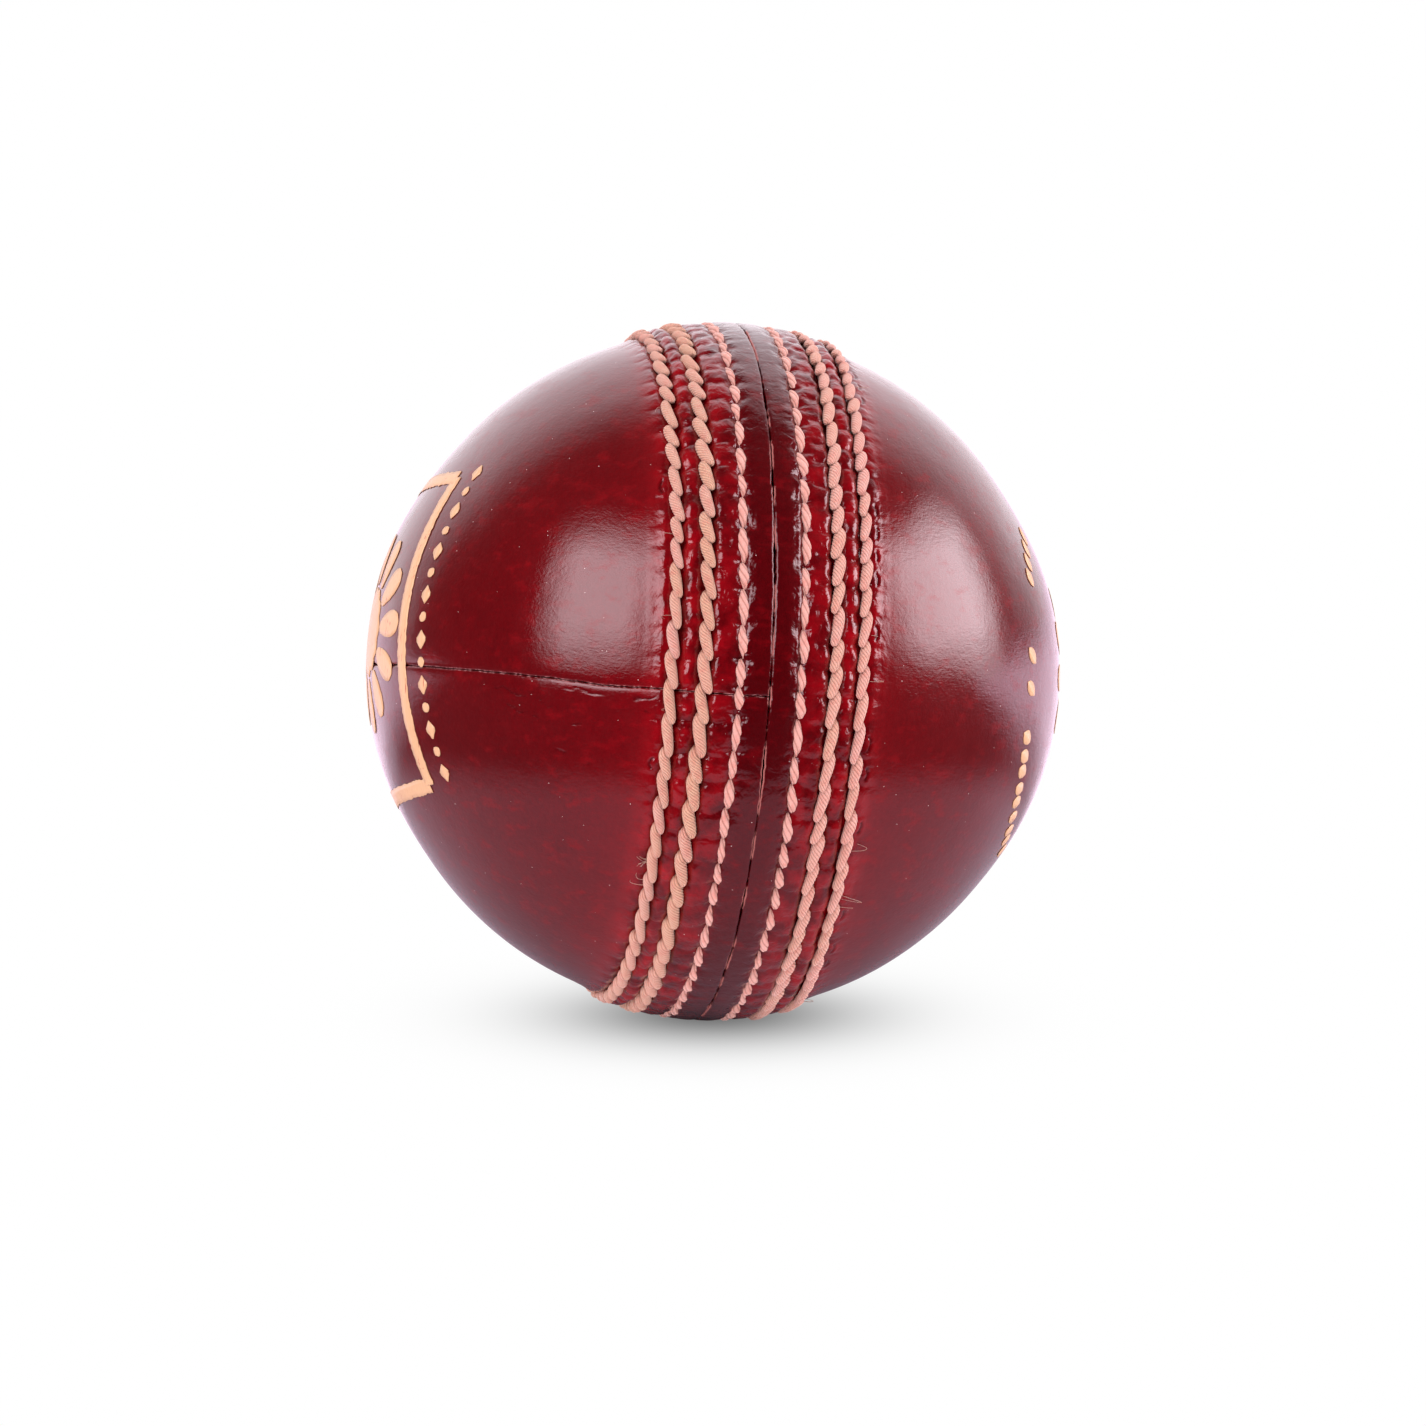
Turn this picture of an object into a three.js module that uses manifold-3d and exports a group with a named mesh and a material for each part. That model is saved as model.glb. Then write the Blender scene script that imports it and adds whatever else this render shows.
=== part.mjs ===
// A hand-stitched, four-piece leather cricket ball.
//
// Units are millimetres. The origin is the centre of the ball and +Z is up. The seam lies in
// the YZ plane, and +X runs along the ball's axis through its two stamped poles. The left cup
// is the half on the -X side and the right cup the half on the +X side. Each cup is two leather
// quarters, and the two cups' quarter seams lie a quarter turn apart: the left cup's in the XY
// plane, the right cup's in the XZ plane.
//
// A latitude is the angle, seen from the centre, between a point and the seam plane: 0 at the
// seam, 90 at a pole.

import * as THREE from 'three';
import { mergeVertices } from 'three/addons/utils/BufferGeometryUtils.js';
import Module from 'manifold-3d';

const wasm = await Module();
wasm.setup();

// ---- Leather cover: distances from the centre ----
const CROWN_RADIUS = 36.4; // flat ridge between the two closing rows
const SHOULDER_RADIUS = 35.4; // leather beside the seam
const POLE_RADIUS = 36.1; // middle of each cup, which stands a little proud
const LEATHER_INNER_RADIUS = 31.95;
const PARTING_GAP = 0.3; // between the two cups' lips
const QUARTER_GAP = 0.24; // between the two quarters of a cup
const SHOULDER_LATITUDE = 18.6; // where the seam relief ends
const SWELL_START_LATITUDE = 50; // the cover swells towards the pole from here
const SWELL_END_LATITUDE = 72; // to here
const CROWN_HALF_WIDTH = 2.35;

// ---- Threads ----
const CLOSING_ROW = { latitude: 5.1, centreRadius: 35.75, threadRadius: 0.45 };
const INNER_ROW = { latitude: 10.75, centreRadius: 35.85, threadRadius: 0.6 };
const OUTER_ROW = { latitude: 15.7, centreRadius: 35.75, threadRadius: 0.6 };
const ROW_GROOVE_CLEARANCE = 0.25; // under each thread
const ROW_GROOVE_HALF_ANGLE = 1; // half the floor of a groove, in degrees of latitude
const RIDGES = [
  { latitude: 8, radius: 36.2 }, // between the closing row and the inner row
  { latitude: 13.2, radius: 36.0 }, // between the inner row and the outer row
];
const CLOSING_STITCHES = 72;
const STITCH_LINK_RADIUS = 0.3; // the closing thread where it crosses through both lips
const STITCH_HOLE_RADIUS = 0.55;
const STITCH_LINK_DEPTH = 0.41; // below the centre of the closing row

// ---- Linings, under the leather ----
const LINING_OUTER_RADIUS = 31.8;
const LINING_INNER_RADIUS = 31.4;
const PACKING_RING_LATITUDE = 16;
const BACKING_STRIP_HALF_WIDTH = 5;
const BACKING_STRIP_START = 10; // clear of the packing ring, along X
const QUARTER_THREAD = { arcRadius: 32.55, threadRadius: 0.35, grooveRadius: 0.65, startLatitude: 20 };

// ---- Wound core ----
const NUCLEUS_RADIUS = 13.4;
const WOUND_LAYERS = 4;
const LAYER_PITCH = 4.33; // one cork layer and the yarn wound over it
const CORK_THICKNESS = 1.7;
const LAYER_GAP = 0.15;
const STRIPS_PER_LAYER = 4;
const STRIP_GAP_ANGLE = 5; // between neighbouring cork strips, in degrees
const WINDING_END_LATITUDE = 86; // the windings leave a small eye at each end

// ---- Pole stamps ----
const FOIL_THICKNESS = 0.1;
const FOIL_LIFT = 0.12; // above the leather
const FOIL_LATITUDES = [62, 76];

// ---- Roundness of the facets ----
const RING_SEGMENTS = 36; // round the seam
const LINING_SEGMENTS = 24;
const CORE_SEGMENTS = 16; // the wound layers share their facets, so that they nest closely
const THREAD_SIDES = 6;
const ARC_STEPS = 12; // along a quarter seam

const QUARTER_TURN = Math.PI / 2;
const toRadians = THREE.MathUtils.degToRad;

const LEATHER = new THREE.MeshStandardMaterial({ color: 0x6d0a17, roughness: 0.25, metalness: 0 });
const LINEN_THREAD = new THREE.MeshStandardMaterial({ color: 0xeebda6, roughness: 0.8, metalness: 0 });
const LINING = new THREE.MeshStandardMaterial({ color: 0xb48a5e, roughness: 0.9, metalness: 0 });
const CORK = new THREE.MeshStandardMaterial({ color: 0xb07c4a, roughness: 0.95, metalness: 0 });
const CORK_RUBBER = new THREE.MeshStandardMaterial({ color: 0x6b4a33, roughness: 0.9, metalness: 0 });
const YARN = new THREE.MeshStandardMaterial({ color: 0xd9cdb8, roughness: 0.95, metalness: 0 });
const FOIL = new THREE.MeshStandardMaterial({ color: 0xd9a968, roughness: 0.45, metalness: 0.3 });

// ---- Solids ----

function solidOf(geometry) {
  const bare = new THREE.BufferGeometry().setAttribute('position', geometry.getAttribute('position'));
  if (geometry.index) bare.setIndex(geometry.index);
  const merged = mergeVertices(bare, 1e-4);
  return new wasm.Manifold(
    new wasm.Mesh({
      numProp: 3,
      vertProperties: new Float32Array(merged.attributes.position.array),
      triVerts: new Uint32Array(merged.index.array),
    }),
  );
}

function geometryOf(solid) {
  const mesh = solid.getMesh();
  const geometry = new THREE.BufferGeometry();
  geometry.setAttribute('position', new THREE.BufferAttribute(mesh.vertProperties, 3));
  geometry.setIndex(new THREE.BufferAttribute(mesh.triVerts, 1));
  geometry.computeVertexNormals();
  return geometry;
}

function placed(solid, matrix) {
  return solidOf(geometryOf(solid).applyMatrix4(matrix));
}

// A box that holds everything between the given corners.
function block(low, high) {
  const size = high.clone().sub(low);
  const centre = low.clone().add(high).multiplyScalar(0.5);
  return solidOf(new THREE.BoxGeometry(size.x, size.y, size.z).translate(centre.x, centre.y, centre.z));
}

// A point of a profile: x is the distance from the ball's axis, y the distance along it.
function at(radius, latitude) {
  const angle = toRadians(latitude);
  return new THREE.Vector2(radius * Math.cos(angle), radius * Math.sin(angle));
}

function arc(radius, fromLatitude, toLatitude, steps) {
  return Array.from({ length: steps + 1 }, (_, i) =>
    at(radius, THREE.MathUtils.lerp(fromLatitude, toLatitude, i / steps)),
  );
}

// Revolves a profile about the X axis, with the middle of a facet at the top and the bottom.
function revolve(profile, segments) {
  const start = Math.PI / segments;
  const geometry = new THREE.LatheGeometry(profile, segments, start).rotateZ(-QUARTER_TURN);
  const solid = solidOf(geometry);
  return solid.volume() > 0 ? solid : solidOf(flipped(geometry));
}

function flipped(geometry) {
  const index = Array.from(geometry.index.array);
  for (let i = 0; i < index.length; i += 3) [index[i + 1], index[i + 2]] = [index[i + 2], index[i + 1]];
  return geometry.clone().setIndex(index);
}

function revolvedRing(profile, segments) {
  return revolve([...profile, profile[0]], segments);
}

function ball(radius, segments) {
  return revolve(arc(radius, -90, 90, segments / 2), segments);
}

// A ball whose flat facets all lie outside the given radius.
function cavity(radius, segments) {
  return ball(radius / Math.cos(Math.PI / segments) ** 2, segments);
}

// A length of thread along an arc about the origin, in the XY plane, centred on +X.
function threadArc(arcRadius, threadRadius, halfAngle) {
  const section = new THREE.Shape().absarc(0, 0, threadRadius, 0, 2 * Math.PI);
  const path = new THREE.EllipseCurve(0, 0, arcRadius, arcRadius, -halfAngle, halfAngle);
  const points = path.getPoints(ARC_STEPS).map((p) => new THREE.Vector3(p.x, p.y, 0));
  const extrudePath = new THREE.CatmullRomCurve3(points);
  const options = { steps: ARC_STEPS, extrudePath, curveSegments: THREAD_SIDES / 2 };
  return solidOf(new THREE.ExtrudeGeometry(section, options));
}

// ---- Leather cover ----

// Distance from the centre to the leather, clear of the seam.
function coverRadius(latitude) {
  const swell = THREE.MathUtils.smoothstep(latitude, SWELL_START_LATITUDE, SWELL_END_LATITUDE);
  return THREE.MathUtils.lerp(SHOULDER_RADIUS, POLE_RADIUS, swell);
}

function grooveFloor({ latitude, centreRadius, threadRadius }) {
  const floor = centreRadius - threadRadius - ROW_GROOVE_CLEARANCE;
  return [at(floor, latitude - ROW_GROOVE_HALF_ANGLE), at(floor, latitude + ROW_GROOVE_HALF_ANGLE)];
}

// The right cup's outline, from its lip at the seam out to the pole.
function coverProfile() {
  const lip = PARTING_GAP / 2;
  const beyondSeam = [SHOULDER_LATITUDE, 28, 39, SWELL_START_LATITUDE, ...FOIL_LATITUDES, 90];
  return [
    new THREE.Vector2(0, lip),
    new THREE.Vector2(CROWN_RADIUS, lip),
    new THREE.Vector2(CROWN_RADIUS, CROWN_HALF_WIDTH),
    ...grooveFloor(CLOSING_ROW),
    at(RIDGES[0].radius, RIDGES[0].latitude),
    ...grooveFloor(INNER_ROW),
    at(RIDGES[1].radius, RIDGES[1].latitude),
    ...grooveFloor(OUTER_ROW),
    ...beyondSeam.map((latitude) => at(coverRadius(latitude), latitude)),
  ];
}

function rowRing({ latitude, centreRadius, threadRadius }) {
  const centre = at(centreRadius, latitude);
  const section = Array.from({ length: THREAD_SIDES }, (_, i) => {
    const turn = (2 * Math.PI * i) / THREAD_SIDES;
    return new THREE.Vector2(threadRadius * Math.cos(turn), threadRadius * Math.sin(turn)).add(centre);
  });
  return revolvedRing(section, RING_SEGMENTS);
}

// Round bars along X, one for each closing stitch, from one closing row to the other.
function stitchBars(barRadius, halfLength) {
  const circleRadius = at(CLOSING_ROW.centreRadius, CLOSING_ROW.latitude).x - STITCH_LINK_DEPTH;
  return Array.from({ length: CLOSING_STITCHES }, (_, i) => {
    const turn = (2 * Math.PI * (i + 0.5)) / CLOSING_STITCHES;
    const bar = new THREE.CylinderGeometry(barRadius, barRadius, 2 * halfLength, 4);
    bar.rotateZ(QUARTER_TURN).translate(0, 0, circleRadius).rotateX(turn);
    return solidOf(bar);
  });
}

const mirrorX = new THREE.Matrix4().makeScale(-1, 1, 1);
const quarterTurn = new THREE.Matrix4().makeRotationX(QUARTER_TURN);

// Mirrors a solid to the -X side. The mirror turns its faces round, so they are turned back.
function mirrored(solid) {
  return solidOf(flipped(geometryOf(solid).applyMatrix4(mirrorX)));
}

const REACH = 50; // past the ball in every direction
const closingRowX = at(CLOSING_ROW.centreRadius, CLOSING_ROW.latitude).y;

function rightCup() {
  const solidCup = revolve(coverProfile(), RING_SEGMENTS);
  const shell = solidCup.subtract(cavity(LEATHER_INNER_RADIUS, LINING_SEGMENTS));
  const holeReach = closingRowX + CLOSING_ROW.threadRadius;
  return stitchBars(STITCH_HOLE_RADIUS, holeReach).reduce((cup, hole) => cup.subtract(hole), shell);
}

// The quarter seam's thread and its groove lie in the XY plane of a cup on the +X side.
const quarterArcHalfAngle = QUARTER_TURN - toRadians(QUARTER_THREAD.startLatitude);
const quarterThread = threadArc(QUARTER_THREAD.arcRadius, QUARTER_THREAD.threadRadius, quarterArcHalfAngle);
const quarterGroove = threadArc(QUARTER_THREAD.arcRadius, QUARTER_THREAD.grooveRadius, QUARTER_TURN * 0.95);

// Both quarters of a cup on the +X side whose quarter seam lies in the XY plane: above it, then below it.
function quartersOf(cup) {
  const grooved = cup.subtract(quarterGroove);
  const corner = new THREE.Vector3(REACH, REACH, REACH);
  const upper = block(new THREE.Vector3(-REACH, -REACH, QUARTER_GAP / 2), corner);
  const lower = block(corner.clone().negate(), new THREE.Vector3(REACH, REACH, -QUARTER_GAP / 2));
  return [grooved.intersect(upper), grooved.intersect(lower)];
}

// ---- Linings ----

function packingRing() {
  const outer = arc(LINING_OUTER_RADIUS, -PACKING_RING_LATITUDE, PACKING_RING_LATITUDE, 3);
  const inner = arc(LINING_INNER_RADIUS, PACKING_RING_LATITUDE, -PACKING_RING_LATITUDE, 3);
  return revolvedRing([...outer, ...inner], LINING_SEGMENTS);
}

function backingStrip() {
  const low = new THREE.Vector3(BACKING_STRIP_START, -REACH, -BACKING_STRIP_HALF_WIDTH);
  const high = new THREE.Vector3(REACH, REACH, BACKING_STRIP_HALF_WIDTH);
  const lining = ball(LINING_OUTER_RADIUS, LINING_SEGMENTS).intersect(block(low, high));
  return lining.subtract(ball(LINING_INNER_RADIUS, LINING_SEGMENTS));
}

// ---- Wound core ----

// Every layer's arc turns its corners at the same latitudes.
function coreArc(radius) {
  return arc(radius, -WINDING_END_LATITUDE, WINDING_END_LATITUDE, CORE_SEGMENTS / 2 - 1);
}

function nucleus() {
  const profile = [at(NUCLEUS_RADIUS, -90), ...coreArc(NUCLEUS_RADIUS), at(NUCLEUS_RADIUS, 90)];
  return revolve(profile, CORE_SEGMENTS);
}

// A round layer with a small eye at each end.
function layerShell(innerRadius, outerRadius) {
  return revolvedRing([...coreArc(outerRadius), ...coreArc(innerRadius).reverse()], CORE_SEGMENTS);
}

// A wedge about the X axis between two angles, longer than the ball.
function wedge(fromAngle, toAngle) {
  const shape = new THREE.Shape();
  shape.moveTo(0, 0);
  shape.lineTo(2 * REACH * Math.cos(fromAngle), 2 * REACH * Math.sin(fromAngle));
  shape.lineTo(2 * REACH * Math.cos(toAngle), 2 * REACH * Math.sin(toAngle));
  const prism = new THREE.ExtrudeGeometry(shape, { depth: 2 * REACH, bevelEnabled: false });
  return solidOf(prism.translate(0, 0, -REACH).rotateY(QUARTER_TURN));
}

// The strips of one layer, turned so that they cover the gaps of the layer below.
function corkStrips(layer, innerRadius, outerRadius) {
  const shell = layerShell(innerRadius, outerRadius);
  const share = (2 * Math.PI) / STRIPS_PER_LAYER;
  const turn = (layer * share) / 2;
  const halfGap = toRadians(STRIP_GAP_ANGLE) / 2;
  return Array.from({ length: STRIPS_PER_LAYER }, (_, i) =>
    shell.intersect(wedge(turn + i * share + halfGap, turn + (i + 1) * share - halfGap)),
  );
}

// ---- Pole stamps ----

function poleFoil() {
  const lift = (extra) => FOIL_LATITUDES.map((latitude) => at(coverRadius(latitude) + extra, latitude));
  const top = lift(FOIL_LIFT + FOIL_THICKNESS);
  const underside = lift(FOIL_LIFT).reverse();
  return revolvedRing([...top, ...underside], RING_SEGMENTS);
}

// ---- Assembly ----

const cricketBall = new THREE.Group();

function addPart(name, solid, material) {
  const mesh = new THREE.Mesh(geometryOf(solid), material);
  mesh.name = name;
  cricketBall.add(mesh);
}

addPart('core_nucleus', nucleus(), CORK_RUBBER);

for (let layer = 1; layer <= WOUND_LAYERS; layer += 1) {
  const start = NUCLEUS_RADIUS + (layer - 1) * LAYER_PITCH + LAYER_GAP;
  const corkTop = start + CORK_THICKNESS;
  const yarnTop = start + LAYER_PITCH - LAYER_GAP;
  corkStrips(layer, start, corkTop).forEach((strip, i) => {
    addPart(`cork_strip_${layer}${'abcd'[i]}`, strip, CORK);
  });
  addPart(`yarn_wrap_${layer}`, layerShell(corkTop + LAYER_GAP, yarnTop), YARN);
}

addPart('seam_packing_ring', packingRing(), LINING);
addPart('left_quarter_backing_strip', mirrored(backingStrip()), LINING);
addPart('right_quarter_backing_strip', placed(backingStrip(), quarterTurn), LINING);
addPart('left_quarter_seam_thread', mirrored(quarterThread), LINEN_THREAD);
addPart('right_quarter_seam_thread', placed(quarterThread, quarterTurn), LINEN_THREAD);

const cup = rightCup();
const [leftUpper, leftLower] = quartersOf(cup).map(mirrored);
addPart('left_upper_leather_quarter', leftUpper, LEATHER);
addPart('left_lower_leather_quarter', leftLower, LEATHER);
const [rightFront, rightBack] = quartersOf(cup).map((quarter) => placed(quarter, quarterTurn));
addPart('right_front_leather_quarter', rightFront, LEATHER);
addPart('right_back_leather_quarter', rightBack, LEATHER);

const closingRow = rowRing(CLOSING_ROW);
const bothClosingRows = closingRow.add(mirrored(closingRow));
const links = stitchBars(STITCH_LINK_RADIUS, closingRowX);
addPart('closing_thread', links.reduce((thread, link) => thread.add(link), bothClosingRows), LINEN_THREAD);

const innerRow = rowRing(INNER_ROW);
const outerRow = rowRing(OUTER_ROW);
addPart('left_inner_stitch_row', mirrored(innerRow), LINEN_THREAD);
addPart('left_outer_stitch_row', mirrored(outerRow), LINEN_THREAD);
addPart('right_inner_stitch_row', innerRow, LINEN_THREAD);
addPart('right_outer_stitch_row', outerRow, LINEN_THREAD);

addPart('left_pole_foil', mirrored(poleFoil()), FOIL);
addPart('right_pole_foil', poleFoil(), FOIL);

export default cricketBall;
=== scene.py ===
"""Looks of a hand-stitched leather cricket ball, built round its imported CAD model.

Meshes are worked out in millimetres about the centre of the ball and stored in metres. A point
on the ball has a latitude (0 at the seam, 90 at the right pole, -90 at the left pole), a turn
(the angle round the X axis, 0 at the top and a quarter turn at the front) and a radius. A side
is -1 for the left cup and 1 for the right cup.
"""

import math

import bpy
import numpy as np
from mathutils import Matrix, Vector


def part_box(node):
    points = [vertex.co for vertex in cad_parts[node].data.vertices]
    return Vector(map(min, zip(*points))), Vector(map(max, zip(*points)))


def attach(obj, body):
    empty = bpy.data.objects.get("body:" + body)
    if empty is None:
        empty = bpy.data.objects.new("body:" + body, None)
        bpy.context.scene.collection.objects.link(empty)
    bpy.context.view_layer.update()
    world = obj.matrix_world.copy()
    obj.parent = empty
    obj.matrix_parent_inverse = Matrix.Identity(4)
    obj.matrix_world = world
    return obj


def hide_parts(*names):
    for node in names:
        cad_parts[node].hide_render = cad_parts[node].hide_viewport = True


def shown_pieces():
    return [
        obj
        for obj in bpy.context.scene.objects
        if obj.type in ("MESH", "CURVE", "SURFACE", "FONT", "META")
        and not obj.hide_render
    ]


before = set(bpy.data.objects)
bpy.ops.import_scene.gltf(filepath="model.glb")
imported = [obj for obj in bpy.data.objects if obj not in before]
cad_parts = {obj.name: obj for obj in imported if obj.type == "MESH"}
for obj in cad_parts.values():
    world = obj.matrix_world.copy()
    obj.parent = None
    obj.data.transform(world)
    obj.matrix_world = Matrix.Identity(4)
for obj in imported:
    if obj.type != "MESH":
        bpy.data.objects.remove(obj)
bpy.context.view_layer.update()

MM = 0.001
TURN = 2 * math.pi
FRONT = TURN / 4


# ---- Sizes, from the frame ----

RING_FACETS = 36  # the frame's rings have this many flat facets, one of them at the top
FACET_SINK = math.cos(math.pi / RING_FACETS)
CLOSING_THREAD_RADIUS = 0.45


def thread_row(node, thread=None):
    """Where a ring of thread runs: its latitude in degrees and the radius to its middle.

    A ring in a node of its own fills the node's width. The closing thread's node holds a ring on
    each side, so there the radius of the thread is given.
    """
    low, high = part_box(node)
    if thread is None:
        thread = (high.x - low.x) / 2 / MM
    x = high.x / MM - thread
    out = high.z / MM / FACET_SINK - thread
    return {"latitude": math.degrees(math.atan2(x, out)), "radius": math.hypot(x, out)}


CLOSING = thread_row("closing_thread", CLOSING_THREAD_RADIUS)
INNER = thread_row("right_inner_stitch_row")
OUTER = thread_row("right_outer_stitch_row")
CROWN_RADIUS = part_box("left_upper_leather_quarter")[1].z / MM / FACET_SINK
POLE_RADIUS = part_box("right_front_leather_quarter")[1].x / MM
LINING_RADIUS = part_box("seam_packing_ring")[1].z / MM
SHOULDER_RADIUS = CROWN_RADIUS - 1.0
NOMINAL_RADIUS = 36.0  # turns a latitude into a distance from the seam, along the leather

SUPPORT_STITCHES = 77  # in one row
CLOSING_STITCHES = 72
HAND_SHIFT = {-1: -0.14, 1: -0.38}  # mm along X by which each cup's rows stray
CLOSING_SHARE = 0.5  # of that shift, for the closing rows


def along(latitude):
    """Distance from the parting, along the leather, in mm."""
    return NOMINAL_RADIUS * np.radians(latitude)


# ---- Noise ----

LATTICE_PRIMES = (374761393, 668265263, 2147483647, 974634777)
MIXING_PRIME = 1274126177


def hashed(ix, iy, iz, seed):
    """A number from -1 to 1 for each lattice point."""
    h = sum(value * prime for value, prime in zip((ix, iy, iz, seed), LATTICE_PRIMES)) & 0xFFFFFFFF
    h = ((h ^ (h >> 13)) * MIXING_PRIME) & 0xFFFFFFFF
    h = h ^ (h >> 16)
    return (h & 0xFFFFFF) / float(0x7FFFFF) - 1.0


def noise(points, seed):
    """Smooth noise from -1 to 1 at points of shape (..., 3), with features about one unit wide."""
    base = np.floor(points).astype(np.int64)
    f = points - base
    f = f * f * (3 - 2 * f)
    total = 0.0
    for corner in np.ndindex(2, 2, 2):
        weight = np.where(corner, f, 1 - f).prod(-1)
        total = total + weight * hashed(*np.moveaxis(base + corner, -1, 0), seed)
    return total


def fractal(points, seed, octaves=3):
    """Noise with finer and fainter noise added to it."""
    total, weight = 0.0, 1.0
    for octave in range(octaves):
        total = total + weight * noise(points * 2**octave, seed + octave)
        weight *= 0.5
    return total / (2 - 2.0 ** (1 - octaves))


def smoothstep(value, low, high):
    t = np.clip((value - low) / (high - low), 0, 1)
    return t * t * (3 - 2 * t)


# ---- Geometry helpers ----


def polar(latitude, turn, radius):
    """Points in mm, of shape (..., 3), from latitudes in degrees, turns in radians and radii."""
    lat = np.radians(latitude)
    ring = radius * np.cos(lat)
    x, y, z = np.broadcast_arrays(radius * np.sin(lat), -ring * np.sin(turn), ring * np.cos(turn))
    return np.stack([x, y, z], -1)


def make_piece(name, vertices, faces, material, slot, *replaced, attributes=None):
    """A mesh object in place, riding on the ball and standing for the CAD nodes it replaces."""
    mesh = bpy.data.meshes.new(name)
    mesh.from_pydata((np.asarray(vertices) * MM).tolist(), [], faces)
    mesh.update()
    for key, values in (attributes or {}).items():
        layer = mesh.attributes.new(key, "FLOAT", "POINT")
        layer.data.foreach_set("value", np.asarray(values, np.float32).ravel())
    mesh.polygons.foreach_set("use_smooth", [True] * len(mesh.polygons))
    mesh.materials.append(material)
    piece = bpy.data.objects.new(name, mesh)
    bpy.context.scene.collection.objects.link(piece)
    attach(piece, "root")
    if replaced:
        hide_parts(*replaced)
    return piece


def grid_faces(rows, columns, start=0, wrap=False):
    """Quads of a grid of vertices stored row by row."""
    r = np.arange(rows - 1)[:, None] * columns
    c = np.arange(columns if wrap else columns - 1)[None, :]
    n = (c + 1) % columns
    quads = np.stack([r + c, r + n, r + columns + n, r + columns + c], -1)
    return quads.reshape(-1, 4) + start


# ---- Holes round the seam ----


def hole_turns(count, seed, spread):
    """Where the needle went in, as growing turns over three times round the ball."""
    rng = np.random.default_rng(seed)
    steps = 1 + spread * rng.uniform(-1, 1, count)
    ends = np.cumsum(steps) / steps.sum() * TURN
    return np.concatenate([ends - TURN, ends, ends + TURN])


def phase_at(turns, holes):
    """How many holes have gone by at each turn: whole at a hole, growing evenly between two."""
    return np.interp(turns % TURN, holes, np.arange(len(holes)))


def bump(phase, sharpness):
    """0 at each hole and 1 midway between two. A small sharpness makes a narrow valley."""
    return np.abs(np.sin(math.pi * phase)) ** sharpness


HOLES = {}
for side_index, cup in enumerate((-1, 1)):
    inner_holes = hole_turns(SUPPORT_STITCHES, 11 + side_index, 0.16)
    lag = 0.010 * np.random.default_rng(31 + side_index).uniform(-0.6, 1.2, SUPPORT_STITCHES)
    HOLES[cup, "inner"] = inner_holes
    HOLES[cup, "outer"] = inner_holes + np.resize(lag, inner_holes.size)
    HOLES[cup, "closing"] = hole_turns(CLOSING_STITCHES, 21, 0.22) + 0.004 * side_index


def wander(turn, seed):
    """How far a hand-sewn row strays from its circle, in mm."""
    ring = polar(0.0, turn, 1.0)
    return 0.13 * noise(ring * 2.2, seed) + 0.07 * noise(ring * 6.5, seed + 1)


# ---- The leather's relief ----

CLOSING_U, INNER_U, OUTER_U = (float(along(row["latitude"])) for row in (CLOSING, INNER, OUTER))
RELIEF_END = OUTER_U + 3.2  # the seam's relief has died away here, in mm from the parting
THREAD_SIDE = 0.78  # from the middle of a supporting row to the leather's edge beside it

# Heights above the shoulder at distances from the parting, midway between two holes and at one.
RELIEF = np.array([
    (0.0, 0.98, 0.98),
    (1.3, 1.00, 0.99),
    (CLOSING_U - 1.2, 0.97, 0.90),
    (CLOSING_U - 0.42, 0.87, 0.60),
    (CLOSING_U, 0.42, 0.00),
    (CLOSING_U + 0.5, 0.74, 0.40),
    (CLOSING_U + 1.0, 0.90, 0.60),
    (INNER_U - THREAD_SIDE - 0.45, 0.88, 0.52),
    (INNER_U - THREAD_SIDE, 0.62, 0.34),
    (INNER_U - 0.35, -0.05, -0.20),
    (INNER_U + 0.35, -0.05, -0.25),
    (INNER_U + THREAD_SIDE, 0.50, 0.18),
    (INNER_U + THREAD_SIDE + 0.4, 0.74, 0.34),
    ((INNER_U + OUTER_U) / 2, 0.80, 0.38),
    (OUTER_U - THREAD_SIDE - 0.4, 0.70, 0.30),
    (OUTER_U - THREAD_SIDE, 0.44, 0.10),
    (OUTER_U - 0.35, -0.10, -0.30),
    (OUTER_U + 0.30, -0.15, -0.35),
    (OUTER_U + THREAD_SIDE, 0.14, -0.14),
    (OUTER_U + 1.2, 0.22, 0.06),
    (OUTER_U + 2.1, 0.07, 0.02),
    (RELIEF_END, 0.0, 0.0),
])

ROUNDING = (-0.14, -0.07, 0.0, 0.07, 0.14)  # mm to either side that a corner is averaged over

# How bright the red is, from 0 (deepest) to 1, at distances from the parting.
DYE = np.array([
    (0.0, 0.0),
    (CLOSING_U - 0.8, 0.03),
    (CLOSING_U + 0.8, 0.34),
    (INNER_U, 0.48),
    (OUTER_U, 0.64),
    (OUTER_U + 1.5, 0.46),
    (OUTER_U + 3.2, 0.22),
    (OUTER_U + 6, 0.15),
    (OUTER_U + 10, 0.13),
])


def relief_profile(u, which):
    """The profile through one column of heights, with its corners rounded."""
    total = 0.0
    for shift in ROUNDING:
        total = total + np.interp(np.abs(u + shift), RELIEF[:, 0], RELIEF[:, which])
    return total / len(ROUNDING)


def cover_radius(latitude):
    """Radius of the leather clear of the seam: the shoulder, swelling a little to the pole."""
    return SHOULDER_RADIUS + (POLE_RADIUS - SHOULDER_RADIUS) * smoothstep(latitude, 50, 76)


PARTING_SHIFT = -0.25  # mm along X from the seam's plane to the crack


def lip(turn, side):
    """Where a cup's leather ends at the ragged crack, in mm from the seam's plane."""
    ring = polar(0.0, turn, CROWN_RADIUS)
    slow = noise(ring / 3.6 + side * 9, 51)
    fine = noise(ring / 0.5 + side * 17, 52)
    return side * PARTING_SHIFT + np.clip(0.05 + 0.08 * slow + 0.06 * fine, 0.01, 0.3)


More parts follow.
